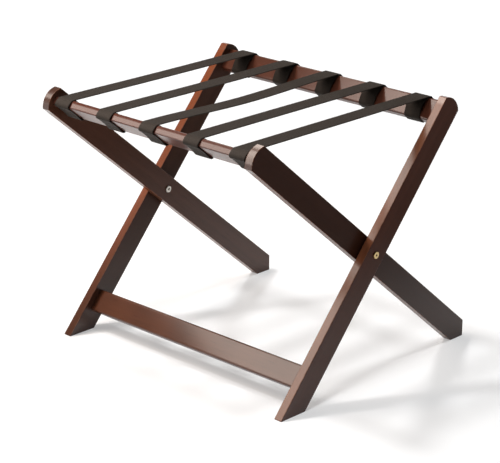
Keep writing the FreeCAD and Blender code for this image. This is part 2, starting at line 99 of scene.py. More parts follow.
class Signal:
    """One value of a node tree. Arithmetic on it adds Math and Vector Math nodes."""

    def __init__(self, graph: Graph, socket: bpy.types.NodeSocket) -> None:
        """Wrap an output socket of the graph's tree."""
        self.graph = graph
        self.socket = socket

    def output(self, name: str) -> Signal:
        """Another output of the same node."""
        return Signal(self.graph, pick(self.socket.node.outputs, name))

    def _maths(self, operation: str, first: object, second: object) -> Signal:
        """Add the node of one operation on two values, at least one of them a signal.

        Args:
            operation: The operation's name in Math and Vector Math.
            first: Its first value.
            second: Its second value.

        Returns:
            The result, a vector if either value is one.
        """
        vectors = [is_vector(first), is_vector(second)]
        if all(vectors) or not any(vectors):
            kind = "ShaderNodeVectorMath" if vectors[0] else "ShaderNodeMath"
            return self.graph.node(kind, {"operation": operation}, {0: first, 1: second})
        if operation != "MULTIPLY":
            raise TypeError(f"{operation} takes two numbers or two vectors")
        vector, number = (first, second) if vectors[0] else (second, first)
        settings = {"operation": "SCALE"}
        return self.graph.node("ShaderNodeVectorMath", settings, {0: vector, "Scale": number})

    def __add__(self, other: object) -> Signal:
        """Sum."""
        return self._maths("ADD", self, other)

    def __radd__(self, other: object) -> Signal:
        """Reflected sum."""
        return self._maths("ADD", other, self)

    def __sub__(self, other: object) -> Signal:
        """Difference."""
        return self._maths("SUBTRACT", self, other)

    def __rsub__(self, other: object) -> Signal:
        """Reflected difference."""
        return self._maths("SUBTRACT", other, self)

    def __mul__(self, other: object) -> Signal:
        """Product."""
        return self._maths("MULTIPLY", self, other)

    def __rmul__(self, other: object) -> Signal:
        """Reflected product."""
        return self._maths("MULTIPLY", other, self)

    def __truediv__(self, other: object) -> Signal:
        """Quotient."""
        return self._maths("DIVIDE", self, other)

    def __gt__(self, other: object) -> Signal:
        """One where this is greater, and zero elsewhere."""
        return self._maths("GREATER_THAN", self, other)

    def __abs__(self) -> Signal:
        """Absolute value."""
        return self.graph.node("ShaderNodeMath", {"operation": "ABSOLUTE"}, {0: self})

    def sine(self) -> Signal:
        """Sine of an angle in radians."""
        return self.graph.node("ShaderNodeMath", {"operation": "SINE"}, {0: self})

    def at_least(self, other: object) -> Signal:
        """The greater of two numbers."""
        return self._maths("MAXIMUM", self, other)

    def at_most(self, other: object) -> Signal:
        """The lesser of two numbers."""
        return self._maths("MINIMUM", self, other)

    def parts(self) -> list[Signal]:
        """The three numbers of a vector."""
        split = self.graph.node("ShaderNodeSeparateXYZ", inputs={0: self})
        return [split.output(axis) for axis in "XYZ"]

    def rising(self, low: float, high: float) -> Signal:
        """Zero below low and one above high, with a smooth rise between them."""
        return self.graph.node(
            "ShaderNodeMapRange",
            {"interpolation_type": "SMOOTHSTEP"},
            {"Value": self, "From Min": low, "From Max": high},
        )

    def bell(self, centre: float, reach: float) -> Signal:
        """One where this equals the centre, falling smoothly to nothing at the reach."""
        return 1 - abs(self - centre).rising(0.0, reach)


def is_vector(value: object) -> bool:
    """Whether a value of a node tree is a vector or a colour."""
    if isinstance(value, Signal):
        return value.socket.type in ("VECTOR", "RGBA")
    return isinstance(value, (tuple, Vector))


def pick(
    sockets: bpy.types.NodeInputs | bpy.types.NodeOutputs, key: str | int
) -> bpy.types.NodeSocket:
    """A node's socket by its number, its identifier or its name."""
    if isinstance(key, int):
        return sockets[key]
    return next((socket for socket in sockets if socket.identifier == key), None) or sockets[key]


class Graph:
    """A node tree under construction."""

    def __init__(self, tree: bpy.types.NodeTree) -> None:
        """Start from an empty tree."""
        self.tree = tree
        self.tree.nodes.clear()

    def node(
        self,
        kind: str,
        settings: dict[str, object] | None = None,
        inputs: dict[str | int, object] | None = None,
        output: str | int = 0,
    ) -> Signal:
        """Add a node.

        Args:
            kind: The node's type.
            settings: Its properties, which are set first.
            inputs: Values or signals of its sockets, by name or number.
            output: The socket to return, by name or number.

        Returns:
            That output, or the node's first input where it has no output.
        """
        made = self.tree.nodes.new(kind)
        for name, value in (settings or {}).items():
            setattr(made, name, value)
        for name, value in (inputs or {}).items():
            self.feed(pick(made.inputs, name), value)
        return Signal(self, pick(made.outputs or made.inputs, output))

    def feed(self, socket: bpy.types.NodeSocket, value: object) -> None:
        """Give a socket its link or its constant value.

        Args:
            socket: A node's input.
            value: The signal to link, or the constant.
        """
        if isinstance(value, Signal):
            self.tree.links.new(value.socket, socket)
        elif socket.type == "RGBA":
            socket.default_value = (*value, 1.0)
        else:
            socket.default_value = value

    def place(self) -> Signal:
        """Place of a shaded point in the object's own coordinates."""
        return self.node("ShaderNodeTexCoord", output="Object")

    def noise(self, place: Signal, scale: float, detail: float = 2.0) -> Signal:
        """Noise between zero and one, with features of about one over scale."""
        return self.node(
            "ShaderNodeTexNoise", inputs={"Vector": place, "Scale": scale, "Detail": detail}
        )

    def mix(self, share: object, first: object, second: object) -> Signal:
        """Mix two colours, all first at a share of zero and all second at one."""
        settings = {"data_type": "RGBA"}
        return self.node("ShaderNodeMix", settings, {0: share, 6: first, 7: second}, 2)

    def layered(self, tone: Signal, layers: tuple[tuple[object, object], ...]) -> Signal:
        """Lay colours over a tone.

        Args:
            tone: The colour underneath.
            layers: The share and the colour of each layer, lowest first.

        Returns:
            The colour on top.
        """
        for share, colour in layers:
            tone = self.mix(share, tone, colour)
        return tone

    def vector(self, x: object, y: object, z: object) -> Signal:
        """A vector of three numbers."""
        return self.node("ShaderNodeCombineXYZ", inputs={0: x, 1: y, 2: z})

    def length(self, vector: Signal) -> Signal:
        """Length of a vector."""
        return self.node("ShaderNodeVectorMath", {"operation": "LENGTH"}, {0: vector}, "Value")

    def bump(self, height: Signal, distance: float, strength: float = 1.0) -> Signal:
        """A normal for a height between zero and one over a distance in metres."""
        inputs = {"Height": height, "Distance": distance, "Strength": strength}
        return self.node("ShaderNodeBump", inputs=inputs)


class Surface(Graph):
    """The node tree of a material."""

    def __init__(self, name: str) -> None:
        """Make an empty material.

        Args:
            name: The material's name.
        """
        self.material = bpy.data.materials.new(name)
        self.material.use_nodes = True
        super().__init__(self.material.node_tree)

    def finish(self, inputs: dict[str, object]) -> bpy.types.Material:
        """Shade the surface with one principled shader.

        Args:
            inputs: Values or signals of the principled shader's sockets.

        Returns:
            The finished material.
        """
        shader = self.node("ShaderNodeBsdfPrincipled", inputs=inputs)
        self.node("ShaderNodeOutputMaterial", inputs={"Surface": shader})
        return self.material


class Builder(Graph):
    """The node tree of a Geometry Nodes modifier, with named inputs."""

    KINDS = {float: "NodeSocketFloat", int: "NodeSocketInt", bpy.types.Material: "NodeSocketMaterial"}

    def __init__(self, name: str, values: dict[str, float | int | bpy.types.Material]) -> None:
        """Make an empty tree.

        Args:
            name: The tree's name.
            values: The value of each named input that comes after the geometry.
        """
        super().__init__(bpy.data.node_groups.new(name, "GeometryNodeTree"))
        face = self.tree.interface
        face.new_socket("Geometry", in_out="INPUT", socket_type="NodeSocketGeometry")
        face.new_socket("Geometry", in_out="OUTPUT", socket_type="NodeSocketGeometry")
        self.values = {}
        for label, value in values.items():
            socket = face.new_socket(label, in_out="INPUT", socket_type=self.KINDS[type(value)])
            self.values[socket.identifier] = value
        self.group = self.node("NodeGroupInput")

    def given(self, name: str) -> Signal:
        """One of the tree's inputs."""
        return self.group.output(name)

    def remember(self, geometry: Signal, name: str, value: Signal) -> Signal:
        """Keep a number on the points of a geometry.

        Args:
            geometry: The geometry.
            name: The name under which the number is kept.
            value: The number.

        Returns:
            The geometry with its number.
        """
        settings = {"data_type": "FLOAT", "domain": "POINT"}
        inputs = {"Geometry": geometry, "Name": name, "Value": value}
        return self.node("GeometryNodeStoreNamedAttribute", settings, inputs)

    def recall(self, name: str) -> Signal:
        """A number that was kept on the points of a geometry."""
        settings = {"data_type": "FLOAT"}
        return self.node("GeometryNodeInputNamedAttribute", settings, {"Name": name}, "Attribute")

    def close(self, geometry: Signal) -> None:
        """End the tree: instances made real, smooth faces, and the Finish input as material.

        Args:
            geometry: What the tree has made.
        """
        real = self.node("GeometryNodeRealizeInstances", inputs={"Geometry": geometry})
        inputs = {"Geometry": real, "Material": self.given("Finish")}
        dressed = self.node("GeometryNodeSetMaterial", inputs=inputs)
        smooth = self.node("GeometryNodeSetShadeSmooth", inputs={"Geometry": dressed})
        self.node("NodeGroupOutput", inputs={0: smooth})

    def grow(self, name: str, base: bpy.types.Object) -> bpy.types.Object:
        """Run the tree on an object and keep the result as a plain mesh.

        Args:
            name: Name of the finished piece.
            base: The object that the tree starts from. It is removed.

        Returns:
            The finished piece, at the origin.
        """
        modifier = base.modifiers.new("Grow", "NODES")
        modifier.node_group = self.tree
        for identifier, value in self.values.items():
            modifier[identifier] = value
        mesh = baked(base, name)
        discard(base)
        return add_object(name, mesh)


def add_object(name: str, data: bpy.types.ID) -> bpy.types.Object:
    """Put a new object into the scene, at the origin.

    Args:
        name: Its name.
        data: Its mesh, curve, light or camera.

    Returns:
        The new object.
    """
    made = bpy.data.objects.new(name, data)
    bpy.context.scene.collection.objects.link(made)
    return made


def discard(spare: bpy.types.Object) -> None:
    """Remove an object and its data."""
    bpy.data.batch_remove((spare, spare.data))


def baked(base: bpy.types.Object, name: str) -> bpy.types.Mesh:
    """Work out an object's shape after its modifiers.

    Args:
        base: The object.
        name: Name of the new mesh.

    Returns:
        That shape as a plain mesh.
    """
    shapes = bpy.context.evaluated_depsgraph_get()
    mesh = bpy.data.meshes.new_from_object(base.evaluated_get(shapes), depsgraph=shapes)
    mesh.name = name
    return mesh


def add_curve(name: str, splines: list[list[Vector]]) -> bpy.types.Object:
    """Put a curve of straight-run splines into the scene.

    Args:
        name: The curve's name.
        splines: The points of each spline.

    Returns:
        The new object.
    """
    curve = bpy.data.curves.new(name, "CURVE")
    curve.dimensions = "3D"
    for points in splines:
        spline = curve.splines.new("POLY")
        spline.points.add(len(points) - 1)
        for place, point in zip(spline.points, points):
            place.co = (*point, 1.0)
    return add_object(name, curve)


def smooth(share: float) -> float:
    """Smooth rise from zero at 0 to one at 1."""
    held = min(1.0, max(0.0, share))
    return held * held * (3 - 2 * held)


def bell(distance: float) -> float:
    """One at zero, falling smoothly to nothing at a distance of one either way."""
    return smooth(1 - abs(distance))


# ---------------------------------------------------------------------------------------------
# Finishes


class Grain(Enum):
    """The axis of a board's own frame along which its grain runs."""

    ALONG_RAIL = 0
    ALONG_LEG = 1


@dataclass(frozen=True)
class Stain:
    """How one board took the stain and the lacquer, with painted shade in some boards' colours.

    Attributes:
        face: Colour of a leg's wide faces.
        side: Colour of a leg's narrow faces, or of a whole rail.
        gloss: How much lacquer the narrow faces have, or the whole rail.
        matt: How matt the lacquer is.
        dry: Height above which a leg's wide faces have no gloss.
        foot_shade: How much painted shade darkens the narrow faces towards the floor.
        end: How dark a leg's round end is.
        crown: How much of the lacquer is rubbed off a rail's upper round.
        tilt: How much more lacquer a rail has at its right end than at its middle.
    """

    face: Colour
    side: Colour
    gloss: float = 0.45
    matt: float = 0.22
    dry: float = 0.34
    foot_shade: float = 0.0
    end: float = 0.0
    crown: float = 0.0
    tilt: float = 0.0


@dataclass(frozen=True)
class Board:
    """Where a board lies, for the pattern of its wood.

    Attributes:
        node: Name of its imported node.
        centre: A point of its middle line.
        lean: Turn of its leg frame about X, in radians.
        grain: The axis that its grain follows.
        half_width: Half of its wider side across the grain.
        half_thickness: Half of its thickness.
        heart: Place of the tree's heart beside the board, so that no two boards look alike.
        stain: How it took the stain.
        reach: Distance of a leg's round end from the pivot.
    """

    node: str
    centre: Vector
    lean: float
    grain: Grain
    half_width: float
    half_thickness: float
    heart: Place
    stain: Stain
    reach: float = 0.0


@dataclass(frozen=True)
class StainedWood:
    """Dark red-brown stain under satin lacquer, with a faint grain and lighter eased edges."""

    band_depth: float = 0.84
    pore: Colour = (0.032, 0.012, 0.007)
    end: Colour = (0.040, 0.016, 0.010)
    worn: Colour = (0.40, 0.175, 0.095)
    grain_stretch: float = 0.045
    band_scale: float = 48.0
    band_limits: Span = (0.30, 0.72)
    fibre_scale: float = 1100.0
    fibre_share: float = 0.14
    pore_scale: float = 620.0
    pore_limits: Span = (0.60, 0.72)
    pore_share: float = 0.20
    blotch_scale: float = 90.0
    blotch_limits: Span = (0.25, 0.75)
    worn_from: float = 0.0002
    worn_reach: float = 0.0014
    worn_share: float = 0.60
    rail_wear: float = 0.3
    roughness: float = 0.24
    fibre_roughness: float = 0.06
    blotch_roughness: float = 0.05
    relief: float = 0.00006
    fibre_relief: float = 0.35
    pore_relief: float = 0.65
    foot_shade_height: float = 0.30
    end_gloss: float = 0.55
    face_gloss: float = 0.58
    end_radius: float = 0.0365
    end_limits: Span = (0.009, 0.016)
    crown_limits: Span = (0.0008, 0.0026)
    crown_width: float = 0.0065
    rail_reach: float = 0.28

    def material(self, board: Board) -> bpy.types.Material:
        """Stain one board, with the grain along it.

        Args:
            board: The board's place and section.

        Returns:
            A material that only this board wears.
        """
        surface = Surface(f"{board.node}_wood")
        place = surface.place()
        own = surface.node(
            "ShaderNodeMapping",
            {"vector_type": "TEXTURE"},
            {"Vector": place, "Location": board.centre, "Rotation": (board.lean, 0, 0)},
        )
        stretch = [1.0, 1.0, 1.0]
        stretch[board.grain.value] = self.grain_stretch
        long = (own + board.heart) * tuple(stretch)
        bands = surface.noise(long, self.band_scale, detail=3.0).rising(*self.band_limits)
        fibres = surface.noise(long, self.fibre_scale, detail=2.0)
        pores = surface.noise(long, self.pore_scale, detail=1.0).rising(*self.pore_limits)
        blotches = surface.noise(own + board.heart, self.blotch_scale)
        rim, narrow, end = self._edges(own, board)
        stain, height = board.stain, place.parts()[2]
        is_leg = board.grain is Grain.ALONG_LEG
        face = surface.mix(bands, self.deep(stain.face), stain.face)
        side = surface.mix(bands, self.deep(stain.side), stain.side)
        # Painted shade: a leg's narrow faces darken towards the floor.
        low = 1 - height.rising(0.0, self.foot_shade_height)
        wear = self.worn_share if is_leg else self.worn_share * self.rail_wear
        tone = surface.layered(
            surface.mix(narrow, face, side) if is_leg else side,
            (
                (end * stain.end, self.end),
                (low * stain.foot_shade, stain.face),
                (fibres * self.fibre_share, self.deep(stain.face)),
                (pores * self.pore_share, self.pore),
                (rim * blotches.rising(*self.blotch_limits) * wear, self.worn),
            ),
        )
        if is_leg:
            wet = 1 - height.rising(0.0, stain.dry)
            coat = narrow * stain.gloss + end * self.end_gloss + wet * (1 - narrow) * self.face_gloss
        elif stain.crown > 0.0:
            coat = (1 - self._crown(own, board) * stain.crown) * stain.gloss
        else:
            share = own.parts()[0] * (stain.tilt / self.rail_reach) + 1
            coat = share * stain.gloss
        rough = fibres * self.fibre_roughness + blotches * self.blotch_roughness
        relief = fibres * self.fibre_relief - pores * self.pore_relief + self.pore_relief
        return surface.finish(
            {
                "Base Color": tone,
                "Roughness": rough + self.roughness,
                "Normal": surface.bump(relief, self.relief),
                "Specular IOR Level": 0.04,
                "Coat Weight": coat,
                "Coat Roughness": stain.matt,
                "Coat IOR": 1.6,
            }
        )

    def deep(self, colour: Colour) -> Colour:
        """The darker band of a colour of the stain."""
        return tuple(part * self.band_depth for part in colour)

    def _crown(self, own: Signal, board: Board) -> Signal:
        """Mask the round between a rail's outer narrow face and its upper wide face.

        Args:
            own: Place in the board's own frame.
            board: The board.

        Returns:
            One on that round.
        """
        _, along, across = own.parts()
        round_start = board.half_width - self.crown_width
        outer = along.rising(round_start - MILLIMETRE, round_start)
        return outer * (0 - across).rising(*self.crown_limits)

    def _edges(self, own: Signal, board: Board) -> tuple[Signal, Signal, Signal | float]:
        """Mask the board's edges, its narrow faces and its round end.

        Args:
            own: Place in the board's own frame.
            board: The board.

        Returns:
            One on the eased edges, one on all that isn't a wide face, and one on the end grain.
        """
        x, along, across = own.parts()
        if board.grain is Grain.ALONG_LEG:
            past = (along - (board.reach - self.end_radius)).at_least(0.0)
            radius = own.graph.length(own.graph.vector(past, across, 0.0))
            inside = (self.end_radius - radius).at_most(board.half_width - abs(across))
            depth = board.half_thickness - abs(x)
            end = past.rising(*self.end_limits) * depth.rising(self.worn_from, self.worn_reach)
        else:
            inside = board.half_width - abs(along)
            depth = board.half_thickness - abs(across)
            end = 0.0
        rim = 1 - depth.at_least(inside).rising(0.0, self.worn_reach)
        return rim, depth.rising(self.worn_from, self.worn_reach), end


@dataclass(frozen=True)
class Flecked:
    """A matt finish of one tone, flecked with another, over a fine relief.

    Attributes:
        name: Name of the finish.
        tone: Its own colour.
        fleck: Colour of the flecks.
        limits: Strength of the pattern at which a fleck starts and at which it is full.
        scale: Fineness of the flecks.
        relief_scale: Fineness of the relief.
        relief: Height of the relief.
        roughness: How matt it is where the pattern is weakest.
        fleck_roughness: How much more matt it is where the pattern is strongest.
        stretch: Scale of the pattern along each axis.
    """

    name: str
    tone: Colour
    fleck: Colour
    limits: Span
    scale: float
    relief_scale: float
    relief: float
    roughness: float
    fleck_roughness: float
    stretch: Place = (1.0, 1.0, 1.0)

    def material(self) -> bpy.types.Material:
        """Make the finish as a material.

        Returns:
            The material.
        """
        surface = Surface(self.name)
        place = surface.place() * self.stretch
        flecks = surface.noise(place, self.scale)
        fine = surface.noise(place, self.relief_scale)
        return surface.finish(
            {
                "Base Color": surface.mix(flecks.rising(*self.limits), self.tone, self.fleck),
                "Roughness": flecks * self.fleck_roughness + self.roughness,
                "Normal": surface.bump(fine, self.relief),
            }
        )


@dataclass(frozen=True)
class WovenWebbing:
    """Charcoal webbing: warp ribs along the strap, crossed by slanting weft, with tight edges.

    Places along the strap are lengths from its front end. A painted highlight lightens the top
    of the front loop, and painted shade darkens the deck before the back rail and the back
    loop's return under the deck.
    """

    yarn: Colour = (0.0350, 0.0290, 0.0250)
    shade: Colour = (0.0205, 0.0155, 0.0120)
    # Painted highlight on the top of the front loop: its colour, place, reach and share.
    highlight_tone: Colour = (0.1080, 0.0910, 0.0790)
    highlight_place: float = 0.116
    highlight_reach: float = 0.016
    highlight_share: float = 0.5
    # Painted shade on the deck before the back rail: its place, reach and share.
    deck_shade_place: float = 0.545
    deck_shade_reach: float = 0.085
    deck_shade_share: float = 0.45
    # Painted shade on the back loop's return under the deck: its start, reach and share.
    return_shade_from: float = 0.698
    return_shade_reach: float = 0.015
    return_shade_share: float = 0.55
    edge_reach: float = 0.0004
    edge_share: float = 0.25
    rib_pitch: float = 0.0019
    rib_height: float = 0.25
    weft_pitch: float = 0.0013
    weft_height: float = 0.22
    slant: float = 0.7
    turn_reach: float = 0.2
    yarn_scale: float = 900.0
    yarn_stretch: float = 0.4
    yarn_height: float = 0.3
    ground_height: float = 0.35
    height_light: float = 0.8
    yarn_light: float = 0.4
    light_limits: Span = (0.1, 1.0)
    relief: float = 0.00022
    relief_strength: float = 0.8
    roughness: float = 0.70
    yarn_polish: float = 0.16

    def material(self, half_width: float, selvedge: float) -> bpy.types.Material:
        """Weave on the strap's own map, which holds metres across and along it.

        Args:
            half_width: Half of the strap's width.
            selvedge: Width of the tight edge.

        Returns:
            The material of all straps.
        """
        surface = Surface("webbing")
        place = surface.node("ShaderNodeUVMap", {"uv_map": "UVMap"})
        across, along, _ = place.parts()
        ribs = (across * (FULL_TURN / self.rib_pitch)).sine()
        # Every other rib leans the other way, so the weft runs in a herringbone.
        sway = (across * (math.pi / self.rib_pitch)).sine()
        side = sway.rising(-self.turn_reach, self.turn_reach) * 2 - 1
        weft = (along * (FULL_TURN / self.weft_pitch) + side * ribs * self.slant * 2).sine()
        yarn = surface.noise(place * (1.0, self.yarn_stretch, 1.0), self.yarn_scale)
        height = ribs * self.rib_height + weft * self.weft_height + yarn * self.yarn_height
        height = height + self.ground_height
        light = (height * self.height_light + yarn * self.yarn_light).rising(*self.light_limits)
        inner = half_width - selvedge
        edge = abs(across).rising(inner - self.edge_reach, inner)
        # Painted highlight on the top of the front loop.
        highlight = along.bell(self.highlight_place, self.highlight_reach)
        # Painted shade on the deck before the back rail.
        dim = along.bell(self.deck_shade_place, self.deck_shade_reach)
        # Painted shade on the back loop's return under the deck.
        return_shade = along.rising(self.return_shade_from, self.return_shade_from + self.return_shade_reach)
        tone = surface.layered(
            surface.mix(light, self.shade, self.yarn),
            (
                (edge * self.edge_share, self.shade),
                (highlight * light * self.highlight_share, self.highlight_tone),
                (dim * self.deck_shade_share, self.shade),
                (return_shade * self.return_shade_share, self.shade),
            ),
        )
        return surface.finish(
            {
                "Base Color": tone,
                "Roughness": self.roughness - yarn * self.yarn_polish,
                "Normal": surface.bump(height, self.relief, self.relief_strength),
                "Specular IOR Level": 0.06,
                "Sheen Weight": 0.05,
                "Sheen Roughness": 0.45,
                "Sheen Tint": (0.80, 0.76, 0.70),
            }
        )


@dataclass(frozen=True)
class TurnedMetal:
    """Bright plated metal with fine turning marks, patches of darker film, and painted shade in and
    about its recess.

    Attributes:
        name: Name of the finish.
        bright: Colour of the clean metal.
        dull_and_shade: Colour where the film is thicker, and of the painted shade in and about the
            recess.
        roughness: How matt the clean metal is.
        mark_scale: Fineness of the turning marks.
        mark_drift: How fast the marks change along the axis.
        film_scale: Fineness of the film's patches.
        film_limits: Strength of the film at which it starts to show and at which it is full.
        film_share: How dull the film makes the metal.
        recess_shade_limits: Depth below the face at which the painted shade in the recess starts and
            at which it is dark.
        recess_shade_edge: Where the painted shade in the recess ends, in recess radii.
        patchy_shade_rings: Where the painted shade about the recess starts to fade and where it
            ends, likewise.
        patchy_shade_limits: Strength of the film at which the painted shade starts and at which
            it is full.
        patchy_shade_share: How dark the painted shade makes the metal.
        dull_roughness: How much more matt the dull metal is.
        mark_roughness: How much more matt the marks are.
        relief: Height of the marks.
    """

    name: str
    bright: Colour
    dull_and_shade: Colour
    roughness: float
    mark_scale: float = 5200.0
    mark_drift: float = 0.2
    film_scale: float = 420.0
    film_limits: Span = (0.35, 0.75)
    film_share: float = 0.35
    recess_shade_limits: Span = (0.0002, 0.0008)
    recess_shade_edge: float = 1.15
    patchy_shade_rings: Span = (0.5, 1.2)
    patchy_shade_limits: Span = (0.2, 0.5)
    patchy_shade_share: float = 0.8
    dull_roughness: float = 0.25
    mark_roughness: float = 0.08
    relief: float = 0.00002

    def material(
        self, axis: Vector, face_x: float, inward: int, recess: float
    ) -> bpy.types.Material:
        """Turning marks about a screw's axis.

        Args:
            axis: A point of the screw's axis, which runs along X.
            face_x: Distance of the head's face from the middle of the bench.
            inward: 1 if the recess runs away from the middle of the bench, and -1 if towards it.
            recess: Radius within which the head is darkened by painted shade.

        Returns:
            The material.
        """
        surface = Surface(self.name)
        place = surface.place()
        own = place - (0.0, axis.y, axis.z)
        x, y, z = own.parts()
        radius = surface.length(surface.vector(0, y, z))
        spiral = surface.vector(radius, 0, x * self.mark_drift)
        marks = surface.noise(spiral, self.mark_scale, detail=1.0)
        film = surface.noise(place, self.film_scale, detail=3.0)
        depth = (abs(x) - face_x) * inward
        # Painted shade in the recess below the head's face.
        inside = 1 - radius.rising(recess, recess * self.recess_shade_edge)
        recess_shade = depth.rising(*self.recess_shade_limits) * inside
        # Painted shade about the recess, in patches where the film is strong.
        near = 1 - radius.rising(*(recess * ring for ring in self.patchy_shade_rings))
        patchy_shade = near * film.rising(*self.patchy_shade_limits) * self.patchy_shade_share
        # Share of the dull colour: the real film, with the painted shade in and about the recess.
        share = film.rising(*self.film_limits) * self.film_share + recess_shade + patchy_shade
        share = share.at_most(1.0)
        rough = share * self.dull_roughness + marks * self.mark_roughness
        return surface.finish(
            {
                "Base Color": surface.mix(share, self.bright, self.dull_and_shade),
                "Metallic": 1.0,
                "Roughness": rough + self.roughness,
                "Normal": surface.bump(marks, self.relief),
            }
        )


def dress(node: str, material: bpy.types.Material) -> None:
    """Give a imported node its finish.

    Args:
        node: The node's name.
        material: What it wears in place of its plain material.
    """
    mesh = frame["nodes"][node].data
    mesh.materials.clear()
    mesh.materials.append(material)
    log.info("dressed %s in %s", node, material.name)


# ---------------------------------------------------------------------------------------------
# Sub-assemblies


@dataclass(frozen=True)
class Pivots:
    """The bolts, sleeve nuts and spacers on which the frames turn."""

    socket_radius: float = 0.0024
    cross_radius: float = 0.0034
    brass: TurnedMetal = TurnedMetal("brass", (0.60, 0.45, 0.22), (0.10, 0.060, 0.028), 0.26)
    nickel: TurnedMetal = TurnedMetal("nickel", (0.56, 0.53, 0.48), (0.07, 0.06, 0.05), 0.20)
    nylon: Flecked = Flecked(
        "nylon",
        tone=(0.022, 0.019, 0.018),
        fleck=(0.050, 0.045, 0.042),
        limits=(0.4, 0.8),
        scale=240.0,
        relief_scale=1800.0,
        relief=0.00006,
        roughness=0.4,
        fleck_roughness=0.2,
    )

    def build(self) -> None:
        """Give each piece of the pivots its finish."""
        axis = Vector(frame["joints"][0]["pos_m"])
        outer_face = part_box("pivot_bolt_right")[1].x
        inner_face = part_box("pivot_sleeve_nut_right")[0].x
        brass = self.brass.material(axis, outer_face, -1, self.socket_radius)
        nickel = self.nickel.material(axis, inner_face, 1, self.cross_radius)
        nylon = self.nylon.material()
        for side in ("left", "right"):
            dress(f"pivot_bolt_{side}", brass)
            dress(f"pivot_sleeve_nut_{side}", nickel)
            dress(f"pivot_spacer_{side}", nylon)


@dataclass(frozen=True)
class RailSection:
    """Section of a rail, and the way round it for a strap that arrives level from the middle.

    Attributes:
        centre: Middle of the section.
        lean: Turn of its longer side about X.
        towards: 1 for the back rail, which the strap passes heading back, and -1 for the front.
        half_width: Half of its longer side.
        half_thickness: Half of its shorter side.
        rounds: Radius of each rounded edge, in the order in which the strap meets them.
    """

    centre: Vector
    lean: float
    towards: int
    half_width: float
    half_thickness: float
    rounds: Rounds

    def outline(self) -> list[Corner]:
        """Rounded edges in the order in which the strap meets them.

        Returns:
            For each edge its centre and radius, and the headings with which the strap meets
            and leaves it, as turns down from level in radians.
        """
        along = Vector((0, math.cos(self.lean), math.sin(self.lean)))
        across = Vector((0, -math.sin(self.lean), math.cos(self.lean)))
        if across.z < 0:
            across = -across
        dip = math.asin(abs(along.y))
        quarter = math.pi / 2
        signs = ((1, 1), (1, -1), (-1, -1), (-1, 1))
        rows = []
        for turn, ((outer, upper), radius) in enumerate(zip(signs, self.rounds)):
            long = along * (outer * (self.half_width - radius))
            short = across * (upper * (self.half_thickness - radius))
            corner = self.centre + long + short
            rows.append((corner, radius, dip + (turn - 1) * quarter, dip + turn * quarter))
        return rows

    def perimeter(self) -> float:
        """Length once round the rail's surface."""
        straight = 4 * (self.half_width + self.half_thickness)
        return straight - (2 - math.pi / 2) * sum(self.rounds)

    def arcs(self, corners: list[Corner], steps: int) -> list[tuple[Vector, Vector]]:
        """Points of rounded edges.

        Args:
            corners: The edges, as the outline has them.
            steps: Steps of each edge.

        Returns:
            Each point of the surface, and the direction away from it.
        """
        rows = []
        for centre, radius, first, final in corners:
            for step in range(steps + 1):
                heading = first + (final - first) * step / steps
                away = Vector((0, self.towards * math.sin(heading), math.cos(heading)))
                rows.append((centre + away * radius, away))
        return rows

    def ring(self, arc_steps: int) -> list[Vector]:
        """Points once round the section, with each rounded edge in that many steps."""
        return [point for point, _ in self.arcs(self.outline(), arc_steps)]

    def bends(self, arc_steps: int) -> list[tuple[Vector, Vector]]:
        """Points of the rounded edges from the level top, more than once round the rail.

        Args:
            arc_steps: Steps of each rounded edge.

        Returns:
            Each point of the surface, and the direction away from it.
        """
        corners = self.outline()
        centre, radius, _, final = corners[0]
        return self.arcs([(centre, radius, 0.0, final)] + corners[1:] + corners[:2], arc_steps)

    def wrap(
        self, last: float, arc_steps: int = 7, run_step: float = 0.0025
    ) -> list[tuple[Vector, Vector, float]]:
        """Points on the rail's surface from its level top once round and on to a given length.

        Args:
            last: Length of the way at which it ends, measured on the rail's surface.
            arc_steps: Steps of each rounded edge.
            run_step: Longest step on a flat face.

        Returns:
            Each point of the surface, the direction away from it, and the length reached there.
        """
        bends = self.bends(arc_steps)
        found = [(*bends[0], 0.0)]
        reached = 0.0
        for (begin, _), (end, away) in zip(bends, bends[1:]):
            run = (end - begin).length
            steps = max(1, math.ceil(run / run_step))
            for step in range(1, steps + 1):
                length = min(last, reached + run * step / steps)
                found.append((begin.lerp(end, (length - reached) / run), away, length))
                if length >= last:
                    return found
            reached += run
        return found


@dataclass(frozen=True)
class Rails:
    """Size and lean of the rails, and the sections of the two that carry the straps."""

    width: float = 0.0465
    thickness: float = 0.018
    outer_lean: float = math.radians(49.2)
    inner_lean: float = math.radians(180 - 40.1)
    front_rounds: Rounds = (0.0065, 0.0025, 0.0040, 0.0040)
    back_rounds: Rounds = (0.0040, 0.0040, 0.0040, 0.0040)

    def front(self) -> RailSection:
        """Section of the front rail, whose upper edge is the roundest."""
        return self._section("front_rail", self.inner_lean, -1, self.front_rounds)

    def back(self) -> RailSection:
        """Section of the back rail."""
        return self._section("back_rail", self.outer_lean, 1, self.back_rounds)

    def _section(self, node: str, lean: float, towards: int, rounds: Rounds) -> RailSection:
        """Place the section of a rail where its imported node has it.

        Args:
            node: The rail's node.
            lean: Turn of its longer side about X.
            towards: 1 for a strap that passes it heading back, and -1 for one heading forward.
            rounds: Radius of each rounded edge.

        Returns:
            The section.
        """
        low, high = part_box(node)
        centre = (low + high) / 2
        centre.x = 0.0
        return RailSection(centre, lean, towards, self.width / 2, self.thickness / 2, rounds)


